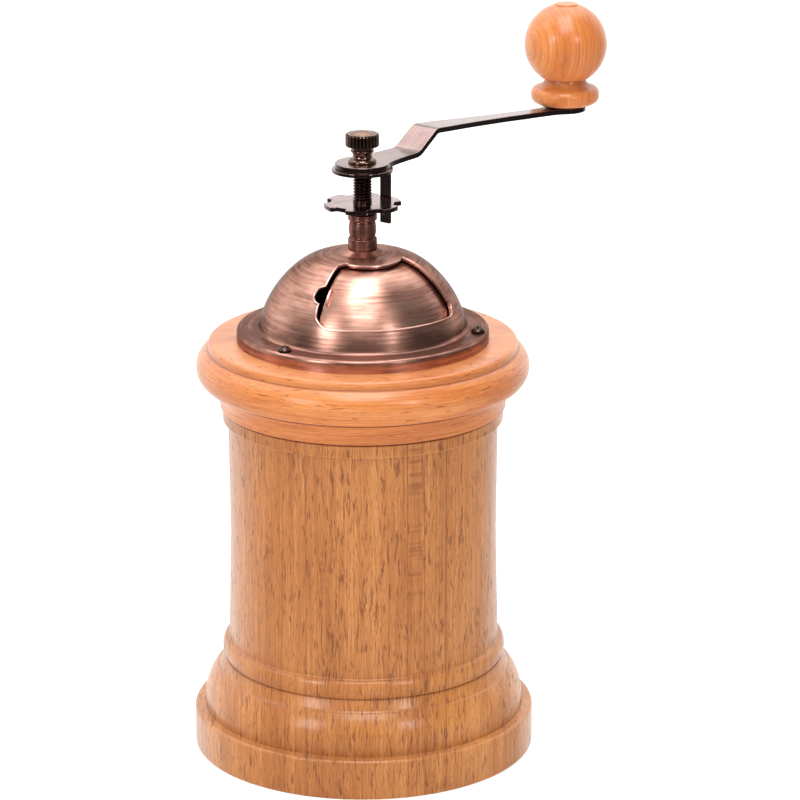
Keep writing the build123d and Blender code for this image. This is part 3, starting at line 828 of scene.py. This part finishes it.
def make_shutter():
    """Inner shell that closes the window, with its bent finger lip."""
    inset = SHEET + SHUTTER_GAP
    eye_r, ring_r = 3.05, 6.5
    low_z, start, end = 120.0, radians(-137.0), radians(-32.0)
    crown_z = CROWN_Z - inset
    sphere = DOME_R - inset
    foot = (sqrt(sphere**2 - (low_z - DOME_Z) ** 2), low_z)
    shell = Shell(inset, [(eye_r, crown_z)], [foot])
    edge = pi * TURN_SCALE
    ring_v = ring_r - eye_r
    a, b, low = start * TURN_SCALE, end * TURN_SCALE, shell.total
    outline = spread([(-edge, 0.0), (edge, 0.0), (edge, ring_v), (b, ring_v), (b, low),
                      (a, low), (a, ring_v), (-edge, ring_v)], 0.8)
    spots = grid((-edge, 0.0), (edge, low), 240, 60)
    mesh = sheet_mesh(outline, [], spots, shell.place, SHUTTER_SHEET)
    made = piece("copper_shutter", mesh, "shutter", "antique_copper", "shutter", sharp=50)
    v = shell.at_elevation(NOTCH_ELEVATION)
    angle = radians(-134.4)
    middle, out = shell.place(angle * TURN_SCALE, v)
    along = Vector((0, 0, 1)) - out * out.z
    along.normalize()
    side = out.cross(along)
    rows = []
    half = ((-2.5, 0.0, 0.28), (-2.3, 0.7, 0.28), (-1.5, 1.15, 0.25))
    sections = (*half, (0.0, 1.3, 0.25), *((-t, *rest) for t, *rest in reversed(half)))
    for t, height, thick in sections:
        base = middle + along * t - out * 0.3
        rows.append([base - side * thick, base + side * thick,
                     base + side * thick + out * (height + 0.25), base + out * (height + 0.35),
                     base - side * thick + out * (height + 0.25)])
    lip = ring_mesh(rows, 5, closed=False)
    bmesh.ops.holes_fill(lip, edges=lip.edges, sides=5)
    lip = piece("shutter_lip", lip, "shutter", "antique_copper")
    paint(copper, made)
    # The lip takes the paler copper as a painted highlight
    paint(highlit_copper, lip)


# Post, shaft and adjusting stack


def make_post():
    """Ringed post on the dome's crown; it stops just short of the wheel's hub."""
    bore, r, low, top, neck = 2.55, 3.87, 133.4, WHEEL_LOW - 0.03, NECK_Z
    points = profile(
        (bore, low),
        (3.0, low),
        (3.0, neck),
        (r - 0.3, neck),
        ((r - 0.08, neck + 0.08), (r, neck + 0.3)),
        (r, 142.3),
        ((r - 0.1, 142.55), (r - 0.35, 142.65)),
        ((3.15, 142.85), (3.45, 143.1)),
        ((3.68, 145.0), (3.45, 147.0)),
        ((3.15, 147.25), (r - 0.3, 147.5)),
        ((r, 147.75), (r, 148.1)),
        (r, top - 0.3),
        ((r - 0.08, top - 0.08), (r - 0.3, top)),
        (bore, top),
        step=12.0,
    )
    paint(post_copper, turned("copper_post", points, "head", "antique_copper", "upper_bush"))


def make_shaft():
    """Crank shaft with a real M5 thread between the wheel and the crank."""
    pitch, crest, root = 0.8, 2.5, 2.05
    thread_low, thread_high = 153.0, LOCK_TOP - 1.0
    rows_per_turn = 12

    def swell(angle, r, z):
        if not thread_low < z < thread_high - 0.01 or r < crest:
            return r
        phase = ((z / pitch - angle / (2 * pi)) % 1.0) * 2 - 1
        return root + (crest - root) * min(1.0, max(0.0, (1 - abs(phase)) * 1.25))

    points = [(0.0, SHAFT_FOOT), (2.2, SHAFT_FOOT), (crest, SHAFT_FOOT + 0.3), (crest, 80.8),
              (3.0, 80.8), (3.0, 132.6), (crest, 132.6), (crest, thread_low)]
    length = thread_high - thread_low
    count = int(length / pitch * rows_per_turn)
    points += [(crest, thread_low + length * i / count) for i in range(1, count + 1)]
    points += [(2.0, thread_high), (2.0, SHAFT_TOP), (1.25, SHAFT_TOP), (1.25, SHAFT_TOP - 8.9),
               (0.0, SHAFT_TOP - 8.9)]
    made = turned("threaded_shaft", points, "crank", "dark_screw", "drive_shaft",
                  count=72, swell=swell)
    paint(blackened, made)


def plate_mesh(outline, hole, low, high, edge):
    """Flat plate between two loops of equally many points, its rims eased by edge."""
    def level(loop, z, grow):
        points = []
        for i, (x, y) in enumerate(loop):
            (ax, ay), (bx, by) = loop[i - 1], loop[(i + 1) % len(loop)]
            length = hypot(bx - ax, by - ay) or 1.0
            points.append((x + (by - ay) / length * grow, y - (bx - ax) / length * grow, z))
        return points

    rows = [level(hole, low, 0), level(outline, low, -edge - 0.12), level(outline, low, -edge),
            level(outline, low + edge * 0.3, -edge * 0.3),
            level(outline, low + edge, 0), level(outline, high - edge, 0),
            level(outline, high - edge * 0.3, -edge * 0.3), level(outline, high, -edge),
            level(outline, high, -edge - 0.12), level(hole, high, 0)]
    return ring_mesh(rows, len(outline))


def circle(radius, count):
    angles = (2 * pi * i / count for i in range(count))
    return [(radius * cos(a), radius * sin(a)) for a in angles]


def make_wheel():
    """Adjusting nut: notched disc on a short hub."""
    radius, depth, notches, count = 10.4, 1.9, 6, 720
    half_width, ease, under, bore = 2.15, 0.55, WHEEL_TOP - 1.2, 2.55
    outline = []
    for i in range(count):
        angle = 2 * pi * i / count
        turn = (angle - CRANK_ANGLE + pi / notches) % (2 * pi / notches) - pi / notches
        across = abs(radius * sin(turn))
        blend = smooth((across - half_width + ease) / (2 * ease))
        floor = (radius - depth) / cos(turn)
        r = floor + (radius - floor) * blend
        outline.append((r * cos(angle), r * sin(angle)))
    disc = plate_mesh(outline, circle(bore, count), under, WHEEL_TOP, 0.16)
    made = piece("wheel_disc", disc, "wheel", "dark_copper", "adjusting_wheel", sharp=28)
    hub = profile((bore, WHEEL_LOW), (3.2, WHEEL_LOW), (3.4, WHEEL_LOW + 0.2), (3.4, under),
                  (bore, under))
    hub = turned("wheel_hub", hub, "wheel", "dark_copper", count=96)
    paint(dark_copper, made, hub)


def strip_place(route):
    """Bends flat (along, across) points to a strip whose top follows route(along) -> height."""
    def place(u, v):
        step = 0.05
        slope = (route(u + step) - route(u - step)) / (2 * step)
        length = sqrt(1 + slope * slope)
        along = Vector((cos(CRANK_ANGLE), sin(CRANK_ANGLE), 0))
        aside = Vector((-sin(CRANK_ANGLE), cos(CRANK_ANGLE), 0))
        normal = (Vector((0, 0, 1)) - along * slope) / length
        return along * u + aside * v + Vector((0, 0, route(u))), normal
    return place


def smooth(value):
    """Ease from 0 to 1."""
    value = min(1.0, max(0.0, value))
    return value * value * (3 - 2 * value)


def arm_height(s):
    """Height of the crank's top face at distance s from the shaft."""
    crown, rise_from, fall_from, fall_to = 168.25, 17.6, 27.5, 84.0
    if s < fall_from:
        return ARM_TOP + (crown - ARM_TOP) * bend_up((s - rise_from) / (fall_from - rise_from))
    t = min(1.0, (s - fall_from) / (fall_to - fall_from))
    return crown - (crown - ARM_TOP) * (0.86 * t + 0.14 * smooth(t)) if t < 1 else ARM_TOP


def bend_up(t):
    """Straight ramp with rounded ends, from 0 to 1."""
    ease = 0.22
    t = min(1.0, max(0.0, t))
    if t < ease:
        return t * t / (2 * ease * (1 - ease))
    if t > 1 - ease:
        return 1 - (1 - t) ** 2 / (2 * ease * (1 - ease))
    return (t - ease / 2) / (1 - ease)


def arm_outline():
    """Plan of the crank: eye, tapering strip, knob's eye."""
    eye, end = 7.3, 5.9
    reach = CRANK_REACH
    sides = [(4.2, 5.97), (6.4, 5.45), (9.4, 5.0), (13.5, 4.65), (18.0, 4.4), (32.0, 4.2),
             (46.0, 3.3), (60.0, 2.65), (74.0, 2.55), (80.5, 2.65), (83.2, 3.2), (85.0, 4.35)]
    start, finish = atan2(sides[0][1], sides[0][0]), atan2(sides[-1][1], sides[-1][0] - reach)
    round_eye = [(eye * cos(start + (2 * pi - 2 * start) * i / 60),
                  eye * sin(start + (2 * pi - 2 * start) * i / 60)) for i in range(61)]
    round_end = [(reach + end * cos(-finish + 2 * finish * i / 48),
                  end * sin(-finish + 2 * finish * i / 48)) for i in range(49)]
    lower = [(x, -y) for x, y in sides[1:]]
    upper = [(x, y) for x, y in reversed(sides[1:])]
    return spread(round_eye + lower + round_end + upper, 0.7)


def make_arm():
    """Crank: a flat strip cut to its plan and bent along its length."""
    thick, shaft_hole, pin_hole = 1.5, 2.3, 1.42
    holes = [circle(shaft_hole, 24), [(CRANK_REACH + x, y) for x, y in circle(pin_hole, 24)]]
    spots = grid((-7.5, -7.5), (CRANK_REACH + 6, 7.5), 150, 18)
    mesh = sheet_mesh(arm_outline(), holes, spots, strip_place(arm_height), thick)
    made = piece("crank_strip", mesh, "crank", "antique_copper", "crank_arm", sharp=50)
    bevel(made, 0.22)
    paint(arm_copper, made)


def bevel(made, width):
    """Eases the edges that are sharper than 50 degrees."""
    change = made.modifiers.new("ease", "BEVEL")
    change.width = width * MM
    change.segments = 2
    change.limit_method = "ANGLE"
    change.angle_limit = radians(50.0)
    change.use_clamp_overlap = False
    change.harden_normals = True


def make_lock_plate():
    """Lock washer under the crank and its bent tab through the wheel's notch."""
    low, high, radius, out, width = LOCK_TOP - 1.0, LOCK_TOP, 8.2, 10.2, 3.2
    disc = plate_mesh(circle(radius, 192), circle(2.0, 192), low, high, 0.2)
    disc = piece("lock_disc", disc, "crank", "dark_copper", "lock_plate")
    bend, nip = 0.9, 0.15
    via = bend * 0.293
    inner, root = out - (high - low), radius - 1.2
    section = profile(
        (root, high),
        (out - bend, high),
        ((out - via, high - via), (out, high - bend)),
        (out, TAB_BOTTOM + nip),
        (out - nip, TAB_BOTTOM),
        (inner + nip, TAB_BOTTOM),
        (inner, TAB_BOTTOM + nip),
        (inner, low),
        (root, low),
        step=15,
    )
    along = Vector((cos(CRANK_ANGLE), sin(CRANK_ANGLE), 0))
    aside = Vector((-sin(CRANK_ANGLE), cos(CRANK_ANGLE), 0))
    rows = [[along * s + aside * side + Vector((0, 0, z)) for s, z in section]
            for side in (-width / 2, width / 2)]
    tab = ring_mesh(rows, len(section), closed=False)
    for row in (0, 1):
        tab.verts.ensure_lookup_table()
        corners = tab.verts[row * len(section):(row + 1) * len(section)]
        tab.faces.new(corners if row else corners[::-1])
    tab = piece("lock_tab", tab, "crank", "dark_copper")
    bevel(tab, 0.12)
    paint(dark_copper, disc, tab)


def make_thumb_screw():
    """Knurled clamp screw: grip, necked stem, flared captive washer."""
    low, high, top, grip, knurls = 167.6, 171.1, 171.9, 4.5, 28

    def knurl(angle, r, z):
        if r < grip - 0.35 or not low < z < high:
            return r
        wave = abs(((angle * knurls / (2 * pi)) % 1.0) * 2 - 1)
        return r - 0.34 * max(0.0, 1 - wave * 1.9)

    points = profile(
        (0.0, ARM_TOP - 8.0),
        (1.2, ARM_TOP - 7.6),
        (1.2, ARM_TOP),
        (1.5, ARM_TOP),
        (1.5, ARM_TOP + 1.3),
        (2.75, ARM_TOP + 1.3),
        ((2.55, 165.4), (2.75, 165.95)),
        (3.05, 166.1),
        ((3.15, 166.35), (3.05, 166.6)),
        (2.85, 166.75),
        (2.85, low - 0.1),
        (3.9, low),
        (grip - 0.25, low + 0.02),
        (grip, low + 0.3),
        (grip, 170.7),
        (grip - 0.28, high - 0.06),
        (grip - 0.55, high),
        (3.55, high),
        (3.35, high - 0.22),
        (3.15, high - 0.05),
        cap(3.15, high - 0.05, top - high + 0.05),
        step=8.0,
    )
    made = turned("thumb_grip", points, "thumb_screw", "dark_copper", "thumb_screw",
                  count=336, swell=knurl)
    points = profile((1.55, ARM_TOP), (3.65, ARM_TOP), (3.8, ARM_TOP + 0.15),
                     (3.8, ARM_TOP + 0.42), ((3.45, ARM_TOP + 0.95), (2.9, ARM_TOP + 1.3)),
                     (1.55, ARM_TOP + 1.3), step=10.0)
    flare = turned("thumb_flare", points, "screw_washer", "dark_copper", "screw_washer", count=96)
    paint(thumb_copper, made, flare)


# CAD nodes that stay as they are


def paint_frame_nodes():
    """Blackened, plain and burr steel for the nodes that no mesh here replaces."""
    nodes = frame["nodes"]
    for node in ("flange_screw_1", "flange_screw_2", "flange_screw_3", "knob_pin", "knob_washer"):
        paint(blackened, nodes[node])
    for node in ("bush_nut", "shutter_washer", "burr_screw_1", "burr_screw_2", "burr_screw_3",
                 "bearing_bridge", "burr_washer", "burr_nut", "burr_spring"):
        paint(plain_steel, nodes[node])
    for node in ("burr_ring", "inner_burr"):
        paint(burr_steel, nodes[node])


# Studio


def make_floor():
    """Plain pale floor, wide enough to fill every view."""
    mesh = bmesh.new()
    bmesh.ops.create_grid(mesh, x_segments=1, y_segments=1, size=12.0)
    data = bpy.data.meshes.new("floor")
    mesh.to_mesh(data)
    mesh.free()
    floor = bpy.data.objects.new("floor", data)
    bpy.context.scene.collection.objects.link(floor)
    floor.visible_glossy = False
    s = Shader("floor_paper")
    grain = s.noise(s.stretched((2.0, 2.0, 2.0)), 2.0)
    s.set(Base_Color=s.mix(grain, (0.92, 0.92, 0.92), (0.94, 0.94, 0.94)), Roughness=0.9)
    s.set(Emission_Color=(1.0, 1.0, 1.0, 1.0), Emission_Strength=0.35)
    floor.data.materials.append(s.material)


def soft_light(name, azimuth, elevation, distance, size, power):
    """Rectangular soft box aimed at the grinder; azimuth is from the camera, to the right.

    Angles are in degrees, distance and size in metres, power in watts.
    """
    data = bpy.data.lights.new(name, "AREA")
    data.shape = "RECTANGLE"
    data.size, data.size_y = size
    data.energy = power
    light = bpy.data.objects.new(name, data)
    bpy.context.scene.collection.objects.link(light)
    a = CAMERA_AZIMUTH + radians(azimuth)
    e = radians(elevation)
    way = Vector((sin(a) * cos(e), -cos(a) * cos(e), sin(e)))
    light.location = Vector((0, 0, 0.1)) + way * distance
    light.rotation_euler = way.to_track_quat("Z", "Y").to_euler()


def make_studio():
    """White sweep behind, dark room behind the camera, soft boxes in front, left and above."""
    world = bpy.data.worlds.new("studio")
    bpy.context.scene.world = world
    world.use_nodes = True
    nodes, links = world.node_tree.nodes, world.node_tree.links
    way = nodes.new("ShaderNodeTexCoord").outputs["Generated"]
    facing = nodes.new("ShaderNodeVectorMath")
    facing.operation = "DOT_PRODUCT"
    facing.inputs[1].default_value = (-sin(SWEEP_AZIMUTH), cos(SWEEP_AZIMUTH), SWEEP_RISE)
    level = nodes.new("ShaderNodeMapRange")
    level.interpolation_type = "SMOOTHSTEP"
    for socket, value in zip(level.inputs[1:5], (0.0, 0.75, ROOM_LIGHT, SWEEP_LIGHT)):
        socket.default_value = value
    back = nodes["Background"]
    back.inputs["Color"].default_value = (1.0, 0.99, 0.98, 1.0)
    links.new(way, facing.inputs[0])
    links.new(facing.outputs["Value"], level.inputs["Value"])
    links.new(level.outputs["Result"], back.inputs["Strength"])
    soft_light("key_left", -42, 25, 1.3, (0.32, 0.46), 4.0)
    soft_light("key_right", 34, 26, 1.3, (0.18, 0.34), 2.4)
    soft_light("top", 2, 73, 1.1, (0.55, 1.1), 11.0)
    soft_light("fill_left", -95, 50, 1.3, (0.6, 0.5), 1.5)
    soft_light("top_back", 175, 60, 1.3, (1.4, 0.7), 4.0)
    bpy.context.scene.view_settings.view_transform = "Standard"


def make_camera():
    """Long lens at the viewing angle, aimed at about half the grinder's height."""
    data = bpy.data.cameras.new("camera")
    data.lens = LENS
    data.sensor_width = SENSOR
    data.clip_start = 0.05
    camera = bpy.data.objects.new("camera", data)
    bpy.context.scene.collection.objects.link(camera)
    a = CAMERA_AZIMUTH
    camera.location = (sin(a) * CAMERA_AWAY, -cos(a) * CAMERA_AWAY, CAMERA_HEIGHT)
    aim = Vector((cos(a), sin(a), 0)) * AIM_RIGHT
    aim.z = CAMERA_HEIGHT - CAMERA_AWAY * tan(CAMERA_DIP)
    way = camera.location - aim
    camera.rotation_euler = way.to_track_quat("Z", "Y").to_euler()
    bpy.context.scene.camera = camera


make_camera()
make_floor()
make_studio()
make_column()
make_collar()
make_knob()
make_dome()
make_shutter()
make_post()
make_shaft()
make_wheel()
make_arm()
make_lock_plate()
make_thumb_screw()
paint_frame_nodes()
